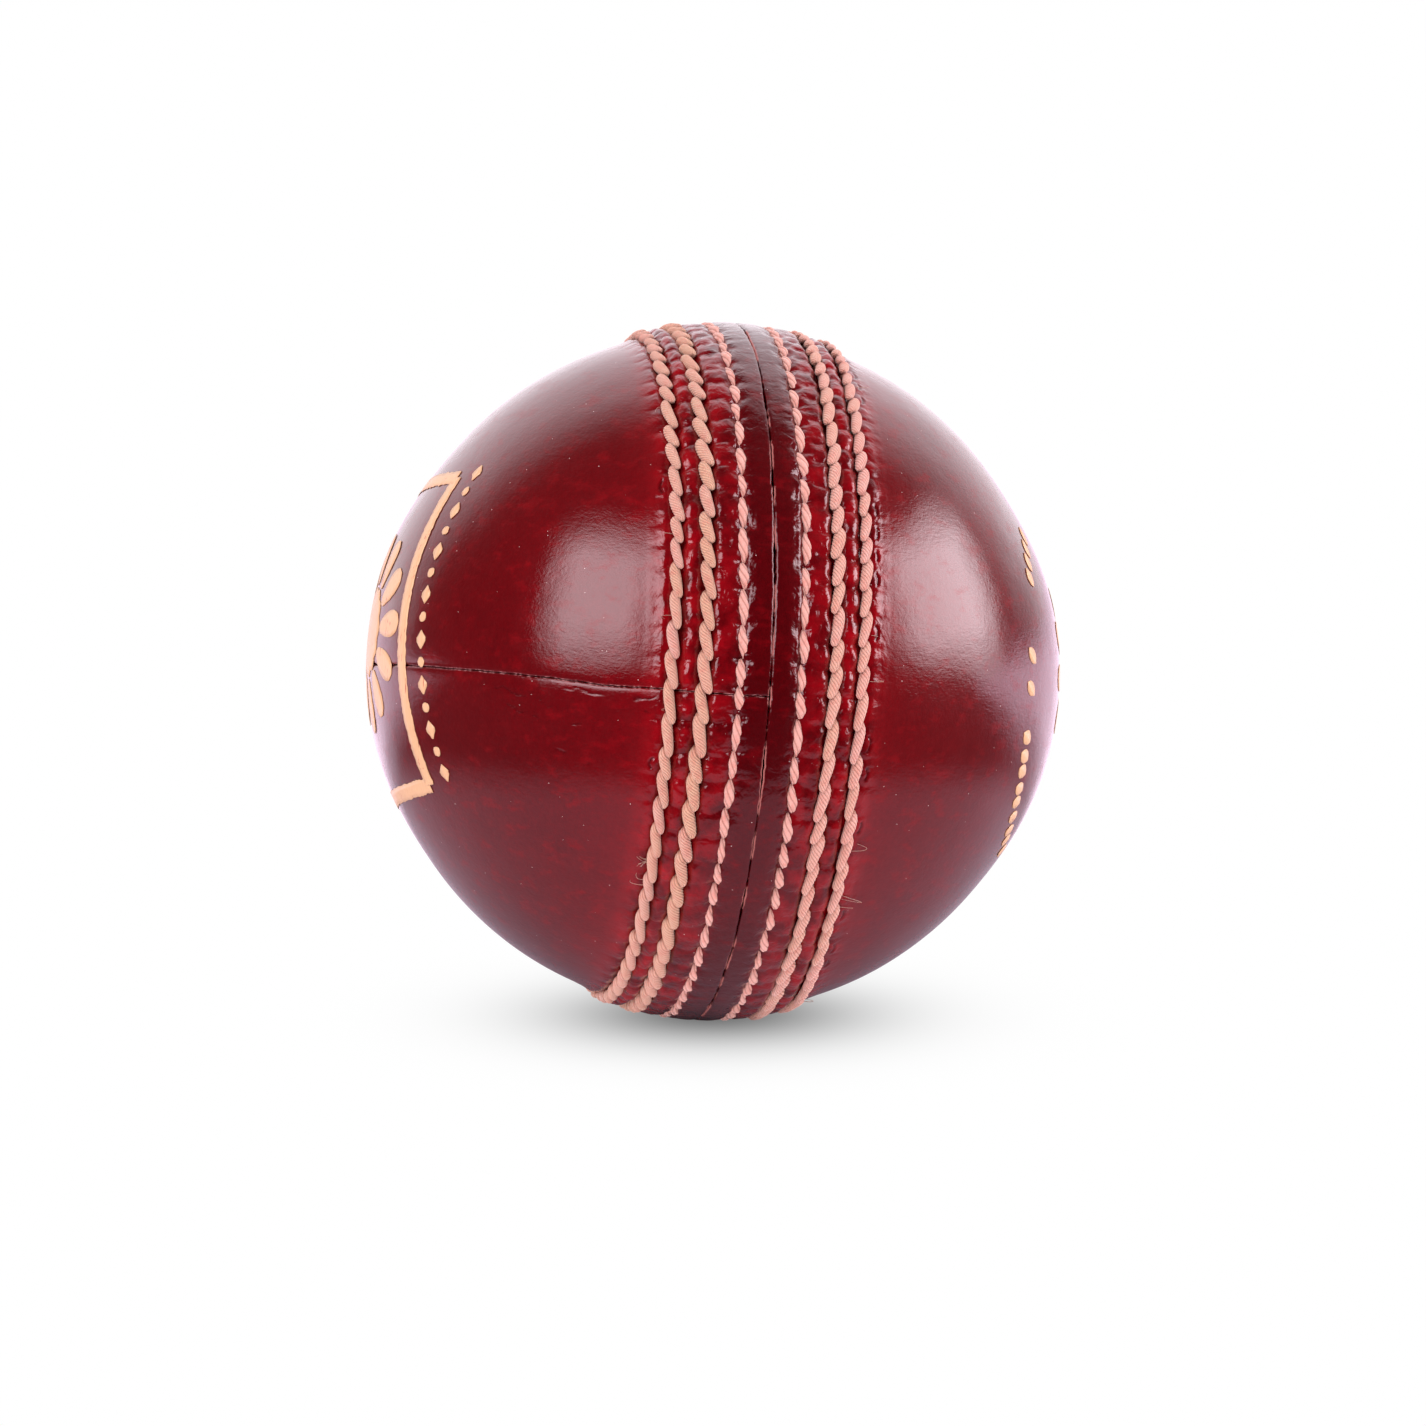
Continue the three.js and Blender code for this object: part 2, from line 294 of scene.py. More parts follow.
def pillows(u, turn, side):
    """The swellings between the holes, 0 at a hole, taken from the rows nearest to u."""
    closing = bump(phase_at(turn, HOLES[side, "closing"]), 0.6)
    inner = phase_at(turn, HOLES[side, "inner"])
    outer = phase_at(turn, HOLES[side, "outer"])
    share = np.clip((u - INNER_U) / (OUTER_U - INNER_U), 0, 1)
    support = bump(inner * (1 - share) + outer * share, 0.42)
    to_support = smoothstep(u, CLOSING_U + 0.6, CLOSING_U + 1.6)
    return closing * (1 - to_support) + support * to_support


# Creases below the left cup's front quarter seam: latitude and mm below the seam, at both ends.
CREASES = (
    (37.0, 0.2, 26.8, 1.4),
    (38.8, 2.0, 36.3, 3.1),
    (27.5, 2.2, 18.8, 2.4),
    (32.8, 4.2, 27.5, 4.6),
    (24.4, 4.4, 21.8, 4.2),
    (34.8, 7.3, 32.6, 7.5),
    (30.9, 8.6, 28.0, 8.3),
    (47.9, 1.2, 41.0, 2.1),
    (46.2, 2.8, 37.6, 4.3),
    (22.4, 1.3, 18.0, 0.7),
)


def creases(latitude, turn):
    """How deep the creases are, from 0 to 1, at points of the left lower quarter."""
    below = (turn - FRONT) * NOMINAL_RADIUS * np.cos(np.radians(latitude))
    place = np.stack([along(latitude), below, np.zeros_like(below)], -1)
    ragged = 0.22 * noise(place / 0.8, 81) + 0.08 * noise(place / 0.25, 82)
    patchy = smoothstep(noise(place / 1.1, 83), -0.5, 0.3)
    deepest = np.zeros_like(below)
    for lat_a, below_a, lat_b, below_b in CREASES:
        share = (latitude - lat_a) / (lat_b - lat_a)
        line = below_a + (below_b - below_a) * np.clip(share, 0, 1)
        inside = smoothstep(share, -0.02, 0.15) * (1 - smoothstep(share, 0.85, 1.02))
        groove = np.exp(-(((below - line + ragged) / 0.10) ** 2))
        deepest = np.maximum(deepest, groove * inside * patchy)
    return deepest


STITCH_LENGTH = 3.0  # roughly, along a supporting row
SLIT_RARITY = {-1: 0.75, 1: 0.1}  # from -1, where each hole has a slit, to 1, where none has


def needle_slits(u, turn, side):
    """Little arcs that the needle left beyond the outer row, from 0 to 1; they are cut in and darkened
    with painted shade.
    """
    phase = phase_at(turn, HOLES[side, "outer"])
    index = np.floor(phase).astype(np.int64)
    chosen = hashed(index, index * 0 + side, index * 0, 91) > SLIT_RARITY[side]
    from_hole = (phase - index - 0.5) * STITCH_LENGTH
    arc_at = OUTER_U + 1.05 + 0.55 * np.clip(1 - (from_hole / 1.1) ** 2, 0, 1)
    slit = np.exp(-(((u - arc_at) / 0.13) ** 2)) * (np.abs(from_hole) < 0.75)
    return slit * chosen


def leather_surface(latitude, turn, side):
    """Radius of a cup's outer face, and what its material needs to know.

    Latitudes are measured from the parting. raw is bare leather, seam is 1 where the leather is
    crumpled, among the rows, and 0 on the smooth cover, and the last value is how bright the red is,
    with painted shade darkening the needle slits.
    """
    from_parting = along(latitude)
    place = polar(side * latitude, turn, CROWN_RADIUS)
    seam = smoothstep(RELIEF_END - from_parting, 0, 3.0)
    off_lip = smoothstep(from_parting, 0.8, 2.2)
    u = from_parting - HAND_SHIFT[side] * side * off_lip
    u = u + seam * off_lip * (0.20 * noise(place / 1.4, 68) + 0.10 * noise(place / 0.55, 69))
    pulled = turn + seam * 0.30 * noise(place / 1.1, 70) / NOMINAL_RADIUS
    at_hole = relief_profile(u, 2)
    between = relief_profile(u, 1)
    height = at_hole + (between - at_hole) * pillows(u, pulled, side)
    radius = cover_radius(latitude) + height
    # Crumpled leather among the rows, with folds that run across the seam.
    across = place / (1.6, 0.5, 0.5)
    crumple = 0.07 * fractal(across, 61, 2) + 0.06 * (0.5 - np.abs(noise(place / 0.9, 62)))
    crown = 1 - smoothstep(u, CLOSING_U - 1.6, CLOSING_U - 0.6)
    radius = radius + seam * crumple * (1 - 0.75 * crown) + 0.035 * crown * noise(place / 3.2, 66)
    radius = radius + (1 - seam) * 0.05 * noise(place / 14, 63) + 0.010 * noise(place / 4.5, 64)
    slit = needle_slits(u, turn, side)
    radius = radius - 0.22 * slit
    edge = np.clip(from_parting - lip(turn, side), 0, None)
    radius = radius - 0.16 * np.exp(-edge / 0.12)
    frayed = smoothstep(noise(place / 2.6, 67), -0.25, 0.35)
    raw = np.exp(-edge / 0.10) * (0.2 + 1.1 * frayed + 0.6 * noise(place / 0.3, 65))
    # Painted shade: the red is darkened inside the needle slits.
    dye = np.interp(u, DYE[:, 0], DYE[:, 1]) * (1 - 0.9 * slit)
    return radius, np.clip(raw, 0, 1), seam * (1 - 0.55 * crown), dye


# ---- Leather quarters ----

QUARTER_GAP = 0.10  # between the two quarters of a cup
COLUMNS = 500
LAST_LATITUDE = 88.6  # the leather's grid ends here, and a fan closes the pole


def quarter_edge(latitude, side, front):
    """How far a quarter seam wanders out of its plane, in mm."""
    place = np.stack([latitude / 9, np.full_like(latitude, 3.0 * front), np.ones_like(latitude)], -1)
    seed = 71 if side < 0 else 72
    stray = 0.14 * noise(place, seed) + 0.05 * noise(place * 4, 73) + 0.03 * noise(place * 11, 74)
    if side < 0 and front:
        stray = stray - 1.5 * np.clip((latitude - 45) / 45, 0, 1) ** 1.5
    return stray


def quarter_rows():
    """Latitudes of a quarter's grid: fine at the seam, still fine where the creases lie."""
    among_rows = np.arange(0.0, RELIEF_END + 0.2, 0.15)
    creased = np.arange(among_rows[-1] + 0.3, along(50.0), 0.3)
    smooth = np.linspace(creased[-1], along(LAST_LATITUDE), 24)[1:]
    return np.degrees(np.concatenate([among_rows, creased, smooth]) / NOMINAL_RADIUS)


def quarter_columns(crowded_end):
    """Shares of the way from one quarter seam to the other, close together at the seams."""
    steps = np.ones(COLUMNS - 1)
    steps[:5] = steps[-5:] = 0.12
    if crowded_end:
        steps[5:85] = 0.42
    shares = np.concatenate([[0.0], np.cumsum(steps)])
    return shares / shares[-1]


def zip_edges(outside, outside_at, inside, inside_at, turned):
    """Triangles of the wall between two edges of vertices, which are placed along it by *_at."""
    triangles = []
    i, j = 0, 0
    while i < len(outside) - 1 or j < len(inside) - 1:
        outside_left = i < len(outside) - 1
        inside_left = j < len(inside) - 1
        step_out = outside_left and (not inside_left or outside_at[i + 1] <= inside_at[j + 1])
        a, b = outside[i], inside[j]
        c = outside[i + 1] if step_out else inside[j + 1]
        if len({a, b, c}) == 3:
            triangles.append([a, b, c] if turned else [b, a, c])
        i, j = (i + 1, j) if step_out else (i, j + 1)
    return triangles


WALL_RADII = np.array([LINING_RADIUS + 0.15, 33.2, 34.6, 35.3, 35.75])  # of the lip's wall
CREASED_QUARTER = "left_lower_leather"


def quarter(name, side, middle):
    """One leather quarter, as a solid shell. middle is the turn of its middle."""
    latitudes = quarter_rows()
    columns = quarter_columns(name == CREASED_QUARTER)
    ring = NOMINAL_RADIUS * np.cos(np.radians(latitudes))

    # The two quarter seams stray from their plane towards +Z (left cup) or -Y (right cup).
    ends = []
    for end in (-1, 1):
        edge_turn = middle + end * TURN / 4
        if side < 0:
            front, towards = math.sin(edge_turn) > 0.5, -math.sin(edge_turn)
        else:
            front, towards = math.cos(edge_turn) < -0.5, math.cos(edge_turn)
        stray = quarter_edge(latitudes, side, front) * towards
        ends.append(edge_turn + (stray - end * QUARTER_GAP / 2) / ring)
    turns = ends[0][:, None] + (ends[1] - ends[0])[:, None] * columns[None, :]

    # The first rows follow the ragged lip.
    u = np.repeat(along(latitudes)[:, None], COLUMNS, 1)
    u = u + lip(turns[0], side)[None, :] * np.exp(-u / 0.8)
    grid = np.degrees(u / NOMINAL_RADIUS)

    radius, raw, seam, dye = leather_surface(grid, turns, side)
    mid_ring = NOMINAL_RADIUS * np.cos(np.radians(grid))
    from_edge = np.minimum(turns - ends[0][:, None], ends[1][:, None] - turns) * mid_ring
    radius = radius - 0.13 * np.exp(-from_edge / 0.10) - 0.05 * np.exp(-from_edge / 0.5)
    crack = np.exp(-from_edge / 0.09)
    if name == CREASED_QUARTER:
        creased = creases(grid, turns)
        radius = radius - 0.05 * creased
        crack = np.maximum(crack, 0.38 * creased)
        # Painted shade darkens the red along the creases.
        dye = dye * (1 - 0.9 * creased)
    outer = polar(side * grid, turns, radius)

    # The lip's wall goes down to the lining, and the inner face shares its lowest row.
    wall = polar(side * grid[0][None, :], turns[0][None, :], WALL_RADII[:, None])
    sheet = np.concatenate([wall, outer])
    rows = len(sheet)
    inner_lat = np.linspace(0, LAST_LATITUDE, 14)[1:]
    first = np.interp(inner_lat, latitudes, ends[0])[:, None]
    last = np.interp(inner_lat, latitudes, ends[1])[:, None]
    inner = polar(side * inner_lat[:, None], first + (last - first) * columns, WALL_RADII[0])

    # One vertex outside and one inside close the pole.
    inset = polar(0.0, middle, QUARTER_GAP / 2)
    pole_out = inset + (side * POLE_RADIUS, 0, 0)
    pole_in = inset + (side * WALL_RADII[0], 0, 0)
    vertices = np.concatenate([sheet.reshape(-1, 3), inner.reshape(-1, 3), [pole_out, pole_in]])
    top, bottom = len(vertices) - 2, len(vertices) - 1

    count = rows * COLUMNS
    step = np.arange(COLUMNS - 1)
    join = np.stack([step + 1, step, count + step, count + step + 1], -1)
    faces = grid_faces(rows, COLUMNS).tolist()
    faces += grid_faces(len(inner_lat), COLUMNS, start=count)[:, ::-1].tolist()
    faces += join.tolist()
    last_outer = count - COLUMNS
    last_inner = count + (len(inner_lat) - 1) * COLUMNS
    for c in range(COLUMNS - 1):
        faces.append([last_outer + c, last_outer + c + 1, top])
        faces.append([last_inner + c + 1, last_inner + c, bottom])
    outside_at = [0.0] * len(WALL_RADII) + list(latitudes) + [90.0]
    inside_at = [0.0] + list(inner_lat) + [90.0]
    for column in (0, COLUMNS - 1):
        outside = [r * COLUMNS + column for r in range(rows)] + [top]
        inside = [column] + [count + r * COLUMNS + column for r in range(len(inner_lat))] + [bottom]
        faces += zip_edges(outside, outside_at, inside, inside_at, column > 0)
    if side > 0:
        faces = [face[::-1] for face in faces]

    attributes = {}
    on_faces = {"raw": (0.1, raw, 0.8), "seam": (1.0, seam, 0.0), "crack": (0.0, crack, 0.0),
                "dye": (0.1, dye, 0.1)}
    for key, (on_wall, on_outer, on_inner) in on_faces.items():
        values = np.full(len(vertices), on_inner)
        values[:wall.size // 3] = on_wall
        values[wall.size // 3:count] = on_outer.ravel()
        attributes[key] = values
    make_piece(name, vertices, faces, LEATHER, "red_leather", name + "_quarter", attributes=attributes)


# ---- Threads ----

PLY_DEPTH = 0.15  # of the thread's radius
MEAN_PLY = 0.64  # the mean of a ply's rounded crest, so that a twisted thread keeps its thickness
SEEN = math.radians(108)  # the part of a thread's section that can be seen, to each side of outwards

# Angles round a section: fine where it can be seen and coarse where it lies against the leather.
SECTION = np.concatenate([np.linspace(-SEEN, SEEN, 31), np.linspace(SEEN, TURN - SEEN, 7)[1:-1]])


def sweep(centres, radii, plies, lay, depth, angle):
    """Closed twisted tubes along centres of shape (tubes, steps, 3), in mm.

    lay is the length of one twist, and its sign the twist's hand. depth is how far the grooves
    between plies go in. Returns the vertices, the faces and an angle that grows by half a turn
    from one ply's crest to the next.
    """
    count, steps = centres.shape[:2]
    sides = len(angle)
    tangent = np.gradient(centres, axis=1)
    length = np.linalg.norm(tangent, axis=-1)
    tangent = tangent / length[..., None]
    away = centres / np.linalg.norm(centres, axis=-1, keepdims=True)
    normal = away - (away * tangent).sum(-1, keepdims=True) * tangent
    normal = normal / np.linalg.norm(normal, axis=-1, keepdims=True)
    side = np.cross(tangent, normal)
    twist = np.cumsum(length, 1)[..., None] / lay * TURN
    wound = plies / 2 * (angle - twist)
    r = radii[..., None] * (1 + depth * (np.abs(np.cos(wound)) - MEAN_PLY))
    points = (
        centres[:, :, None, :]
        + (r * np.cos(angle))[..., None] * normal[:, :, None, :]
        + (r * np.sin(angle))[..., None] * side[:, :, None, :]
    )
    one = grid_faces(steps, sides, wrap=True)
    starts = np.arange(count)[:, None, None] * steps * sides
    faces = (one[None] + starts).reshape(-1, 4).tolist()
    for first in range(0, count * steps * sides, steps * sides):
        last = first + (steps - 1) * sides
        faces.append(list(range(first + sides - 1, first - 1, -1)))
        faces.append(list(range(last, last + sides)))
    return points.reshape(-1, 3), faces, wound.reshape(-1)


# Along a stitch: -1 at the hole it comes out of, 1 at the hole it goes down.
STITCH_RUN = np.linspace(-1.6, 1.08, 35)

# A stitch's two edges across its row, in mm towards the parting, at places along it. It comes
# out from under its neighbour on the far side and ends bluntly on the near side.
STITCH_EDGES = np.array([
    (-1.6, -0.15, 0.42),
    (-1.45, -0.46, 0.38),
    (-1.3, -0.66, 0.34),
    (-1.1, -0.78, 0.33),
    (-0.95, -0.82, 0.35),
    (-0.8, -0.82, 0.40),
    (-0.5, -0.76, 0.50),
    (-0.2, -0.65, 0.60),
    (0.1, -0.50, 0.69),
    (0.4, -0.33, 0.77),
    (0.65, -0.18, 0.82),
    (0.82, -0.07, 0.83),
    (0.94, 0.02, 0.77),
    (1.02, 0.08, 0.66),
    (1.08, 0.12, 0.52),
])


def stitch_turns(holes, run):
    """Turns along each stitch of a row, from a hole where run is -1 to the next where it is 1."""
    first, last = np.searchsorted(holes, 0.0), np.searchsorted(holes, TURN)
    starts, ends = holes[first:last, None], holes[first + 1:last + 1, None]
    return (starts + ends) / 2 + (ends - starts) / 2 * run


def stitch_paths(row, side, which, look, rng):
    """Centre lines, radii and tuck of a row's stitches. tuck is 1 under the stitch before, where
    painted shade goes.
    """
    s = STITCH_RUN
    turn = stitch_turns(HOLES[side, which], s)
    jitter = rng.normal(0, 1, (6, len(turn), 1)).clip(-2, 2)  # the sixth is spare
    warped = s + 0.07 * jitter[4] * np.cos(s * 1.2)
    far, near = (np.interp(warped, STITCH_EDGES[:, 0], STITCH_EDGES[:, edge]) for edge in (1, 2))
    size = look["size"] * (1 + 0.05 * jitter[3])
    thick = 0.46 * (near - far) * size
    slant = ((near + far) / 2 - 0.03) * look["size"] * (1 + 0.10 * jitter[0])
    across = -side * slant + 0.04 * jitter[1] + HAND_SHIFT[side] + wander(turn, look["seed"])
    latitude = side * row["latitude"] + np.degrees(across / NOMINAL_RADIUS)
    start = smoothstep(-s, 0.85, 1.55)
    plunge = np.clip((s - 0.98) / 0.2, 0, 1) ** 2
    thinned = 0.59 * look["size"] - thick
    height = 0.03 * jitter[2] + 0.12 * s + 0.50 * thinned * (s > 0) - 0.30 * start - 0.3 * plunge
    radius = row["radius"] + height
    return polar(latitude, turn, radius), thick, np.broadcast_to(start, turn.shape)


def make_threads(name, centres, radii, twist, tone, surface, *replaced, tuck=0.0, angles=SECTION):
    """One object from swept threads, with painted shade where they sink below a radius, surface, and
    where tuck is high.
    """
    vertices, faces, wound = sweep(centres, radii, *twist, angles)
    for_each = np.ones(centres.shape[:2])
    attributes = {
        "wound": wound,
        "tone": np.repeat(tone * for_each, len(angles)),
        "tuck": np.repeat(tuck * for_each, len(angles)),
        "depth": surface - np.linalg.norm(vertices, axis=1),
    }
    make_piece(name, vertices, faces, THREAD, "linen_thread", *replaced, attributes=attributes)


def support_row(name, side, which, row, look):
    """A row of stitches, each running down one hole and out from under its neighbour."""
    rng = np.random.default_rng(look["seed"])
    centres, radii, tuck = stitch_paths(row, side, which, look, rng)
    tone = look["tone"] + 0.16 * rng.normal(0, 1, (len(centres), 1))
    make_threads(name + "es", centres, radii, SUPPORT_TWIST[side], tone, row["radius"], name + "_row",
                 tuck=tuck)


BEAD_RUN = np.linspace(-1, 1, 19)
BEAD_OVERLAP = 1.06  # of a bead's length from hole to hole


def closing_beads(side, seed):
    """Centre lines and radii of the closing thread's beads, which lie sunk in the crown's edge."""
    s = BEAD_RUN
    turn = stitch_turns(HOLES[side, "closing"], BEAD_OVERLAP * s)
    jitter = np.random.default_rng(seed).normal(0, 1, (4, len(turn), 1))
    across = (0.14 + 0.05 * jitter[0]) * np.sin(2 * s) + 0.05 * jitter[1]
    across = across + wander(turn, seed) + CLOSING_SHARE * HAND_SHIFT[side]
    latitude = side * CLOSING["latitude"] + np.degrees(across / NOMINAL_RADIUS)
    arch = np.cos(s * math.pi / 2)
    radius = CLOSING["radius"] - 0.35 + (0.44 + 0.05 * jitter[2]) * arch**0.7
    thick = 0.10 + (0.44 + 0.04 * jitter[3]) * arch**0.75
    return polar(latitude, turn, radius), thick


FIBRE_STEPS = 12
FIBRE_RADIUS = 0.035
FIBRE_SECTION = np.linspace(0, TURN, 6)[:-1]


def fibre_path(side, u, turn, drift, lift):
    """Points of a fibre: u along the leather from the parting, drift along the row, lift above."""
    latitude = np.degrees(u / NOMINAL_RADIUS)
    return polar(side * latitude, turn + drift / NOMINAL_RADIUS, SHOULDER_RADIUS + 0.25 + lift)


def loose_fibres(rng):
    """Centre lines of single fibres that have worked loose from the outer rows, as small arcs."""
    centres = []
    s = np.linspace(0, 1, FIBRE_STEPS)
    for index in range(30):
        side = 1 if index % 2 else -1
        turn = rng.uniform(0, TURN)
        reach = rng.uniform(0.5, 1.6)
        drift = rng.uniform(-1.2, 1.2)
        lift = rng.uniform(0.05, 0.5)
        u = OUTER_U + 0.45 + reach * np.sin(s * rng.uniform(1.4, 2.8))
        centres.append(fibre_path(side, u, turn, drift * s**1.5, lift * np.sin(s * math.pi)))
    # A tan loop that stands out from the right outer row, and a tuft beside the left one.
    bend = np.sin(s * math.pi)
    centres.append(fibre_path(1, OUTER_U + 0.5 + 2.3 * bend, 2.20, 1.0 * bend + 0.5 * s, 0.3 * bend))
    for index in range(9):
        u = OUTER_U + 0.5 + rng.uniform(0.4, 1.5) * s
        curl = rng.uniform(-0.9, 0.9) * s**2
        centres.append(fibre_path(-1, u, 2.11 + rng.uniform(-0.01, 0.01), curl, 0.5 * s))
    return np.array(centres)


# ---- Foil stamps ----

FOIL_LIFT = 0.02
FOIL_THICKNESS = 0.05
FOIL_STEP = 0.8  # the foil bends round the ball in facets no longer than this


def on_cup(side, p, q, lift):
    """Points of a flat stamp laid on a cup's pole: p runs to the front and q up, in mm."""
    from_pole = np.hypot(p, q) / NOMINAL_RADIUS
    latitude = 90 - np.degrees(from_pole)
    return polar(side * latitude, np.arctan2(p, q), cover_radius(latitude) + lift)


def foil_patch(side, p, q, is_round=False):
    """A closed thin patch from a grid of stamp points. A round one has its first row as centre."""
    rows, columns = p.shape
    count = rows * columns
    grid = np.arange(count).reshape(rows, columns)
    top = on_cup(side, p, q, FOIL_LIFT + FOIL_THICKNESS).reshape(-1, 3)
    under = on_cup(side, p, q, FOIL_LIFT).reshape(-1, 3)
    if is_round:
        rim = grid[-1]
        upper = grid_faces(rows - 1, columns, start=columns, wrap=True).tolist()
        upper += [[0, following, this] for this, following in zip(grid[1], np.roll(grid[1], -1))]
    else:
        rim = np.concatenate([grid[0], grid[1:, -1], grid[-1, -2::-1], grid[-2:0:-1, 0]])
        upper = grid_faces(rows, columns).tolist()
    faces = upper + [[v + count for v in face[::-1]] for face in upper]
    turned = -1 if is_round else 1
    faces += [[b, a, a + count, b + count][::turned] for a, b in zip(rim, np.roll(rim, -1))]
    first, second, third = (top[v] for v in upper[-1][:3])
    if np.cross(second - first, third - first) @ first < 0:
        faces = [face[::-1] for face in faces]
    return np.concatenate([top, under]), faces


def ribbon(line, half_width, rng, ragged=0.06):
    """Grid of a stroke along a line of stamp points, with slightly ragged edges."""
    line = np.asarray(line, float)
    lengths = np.linalg.norm(np.diff(line, axis=0), axis=1)
    run = np.concatenate([[0], np.cumsum(lengths)])
    steps = max(int(run[-1] / 0.35), 4)
    at = np.linspace(0, run[-1], steps + 1)
    p, q = np.interp(at, run, line[:, 0]), np.interp(at, run, line[:, 1])
    dp, dq = np.gradient(p), np.gradient(q)
    length = np.hypot(dp, dq)
    share = at / run[-1]
    half = np.broadcast_to(half_width(share) if callable(half_width) else half_width, share.shape)
    across = np.linspace(-1, 1, 2 + int(2 * half.max() / FOIL_STEP))[:, None]
    edge = half + ragged * rng.normal(0, 1, steps + 1).clip(-1.5, 1.5)
    return p + across * edge * dq / length, q - across * edge * dp / length


def round_patch(centre, radius_at, rings, around, rng, ragged=0.03):
    """Grid of a filled round shape: rows run outwards from its centre, columns round it."""
    turns = np.arange(around) / around * TURN
    radius = radius_at(turns) + ragged * rng.normal(0, 1, around)
    shares = np.linspace(0, 1, rings)[:, None]
    return centre[0] + shares * radius * np.sin(turns), centre[1] + shares * radius * np.cos(turns)


FRAME_HALF = 11.7  # of the left stamp's frame, towards the front and the back
FRAME_TOP, FRAME_BOTTOM = 18.5, -15.5
FRAME_BAR = 0.85  # half its width
BORDER_AT = 15.4  # the row of small marks outside the frame
FRAME_LEAN = math.radians(10)  # its top leans back

WREATH_RADIUS = 20.8  # of the right stamp's ring of marks
WREATH_ANGLES = (32, 38, 44, 50, 76, 86, 101, 107, 112, 118, 123, 129, 135, 140, 146)  # from the top


def disc_edge(turns):
    return 4.3 + 0.4 * np.abs(np.cos(6 * turns))


def petal_width(share):
    return 1.7 * np.sin(math.pi * share) ** 0.4 * (0.55 + 0.45 * share) + 0.04


def dot_edge(turns):
    return 0.55 + 0 * turns


def lozenge_width(share):
    return 0.85 * (1 - np.abs(2 * share - 1)) + 0.05


def leaf_width(share):
    return 0.75 * np.sin(math.pi * share) ** 0.7 + 0.04


def rosette(rng):
    """Grids of twelve petals round a disc."""
    shapes = [(round_patch((0, 2.0), disc_edge, 7, 72, rng), True)]
    for angle in np.arange(12) / 12 * TURN:
        outward = np.array([math.sin(angle), math.cos(angle)])
        petal = (4.9 * outward + (0, 2.0), 10.6 * outward + (0, 2.0))
        shapes.append((ribbon(petal, petal_width, rng, 0.03), False))
    return shapes


def framed(rng):
    """Grids of a plain frame with a row of small marks along each side of it."""
    right, top, bottom = FRAME_HALF, FRAME_TOP, FRAME_BOTTOM
    corners = ((right, bottom), (right, top), (-right, top), (-right, bottom), (right, bottom))
    shapes = [(ribbon(bar, FRAME_BAR, rng), False) for bar in zip(corners, corners[1:])]
    for index in range(15):
        q = top + 0.5 - 2.4 * index
        for p in (BORDER_AT, -BORDER_AT):
            if index % 2:
                shapes.append((round_patch((p, q), dot_edge, 3, 14, rng), True))
            else:
                shapes.append((ribbon(((p, q + 1.0), (p, q - 1.0)), lozenge_width, rng, 0.03), False))
    return shapes


def leaf_sprays(rng):
    """Grids of little leaves in groups on a ring, the same to the front and to the back."""
    shapes = []
    for direction in (1, -1):
        for degrees in WREATH_ANGLES:
            angle = math.radians(degrees)
            centre = WREATH_RADIUS * np.array([direction * math.sin(angle), math.cos(angle)])
            lengthwise = 1.2 * np.array([direction * math.cos(angle + 0.9), -math.sin(angle + 0.9)])
            line = (centre - lengthwise, centre + 0.9 * lengthwise)
            shapes.append((ribbon(line, leaf_width, rng, 0.03), False))
    return shapes


def build_stamp(name, side, shapes, lean):
    """One object from all the patches of a stamp, leaning back by an angle."""
    vertices, faces, start = [], [], 0
    sine, cosine = math.sin(lean), math.cos(lean)
    for (p, q), is_round in shapes:
        points, polygons = foil_patch(side, cosine * p - sine * q, sine * p + cosine * q, is_round)
        vertices.append(points)
        faces += [[v + start for v in face] for face in polygons]
        start += len(points)
    make_piece(name + "_stamp", np.concatenate(vertices), faces, FOIL, "gold_foil", name + "_foil")


# ---- Materials ----

PRINCIPLED = "Principled BSDF"


class Field:
    """A number, vector or colour that varies over a surface: one output of a shader node."""

    def __init__(self, tree, output):
        self.tree = tree
        self.output = output

    def maths(self, operation, other=0.0):
        return field(self.tree, "Math", 0, {0: self, 1: other}, operation=operation)

    def __add__(self, other):
        return self.maths("ADD", other)

    def __sub__(self, other):
        return self.maths("SUBTRACT", other)

    def __rsub__(self, other):
        return field(self.tree, "Math", 0, {0: other, 1: self}, operation="SUBTRACT")

    def __mul__(self, other):
        return self.maths("MULTIPLY", other)

    def span(self, low, high, to_low=0.0, to_high=1.0):
        """Runs from to_low to to_high while this runs from low to high, and not beyond."""
        inputs = {"Value": self, "From Min": low, "From Max": high, "To Min": to_low, "To Max": to_high}
        return field(self.tree, "MapRange", "Result", inputs)

    def blend(self, first, second):
        """The first colour where this is 0 and the second where it is 1."""
        return field(self.tree, "Mix", 2, {0: self, 6: first, 7: second}, data_type="RGBA")


def connect(tree, socket, value):
    if isinstance(value, Field):
        tree.links.new(value.output, socket)
    elif socket.type == "RGBA" and len(value) == 3:
        socket.default_value = (*value, 1.0)
    else:
        socket.default_value = value


def field(tree, kind, output, inputs=None, **settings):
    """An output of a new shader node, whose inputs are linked or set."""
    made = tree.nodes.new("ShaderNode" + kind)
    for key, value in settings.items():
        setattr(made, key, value)
    for key, value in (inputs or {}).items():
        connect(tree, made.inputs[key], value)
    return Field(tree, made.outputs[output])


def wire(tree, target, **sources):
    """Links or sets inputs of a node that the tree came with. Their names have _ for spaces."""
    for key, value in sources.items():
        connect(tree, tree.nodes[target].inputs[key.replace("_", " ")], value)


def material_of(name):
    material = bpy.data.materials.new(name)
    material.use_nodes = True
    return material, material.node_tree


def millimetres(tree, stretch=(1, 1, 1)):
    """Object coordinates in mm, squeezed along each axis by stretch."""
    inputs = {0: field(tree, "TexCoord", "Object"), 1: tuple(1 / MM / amount for amount in stretch)}
    return field(tree, "VectorMath", "Vector", inputs, operation="MULTIPLY")


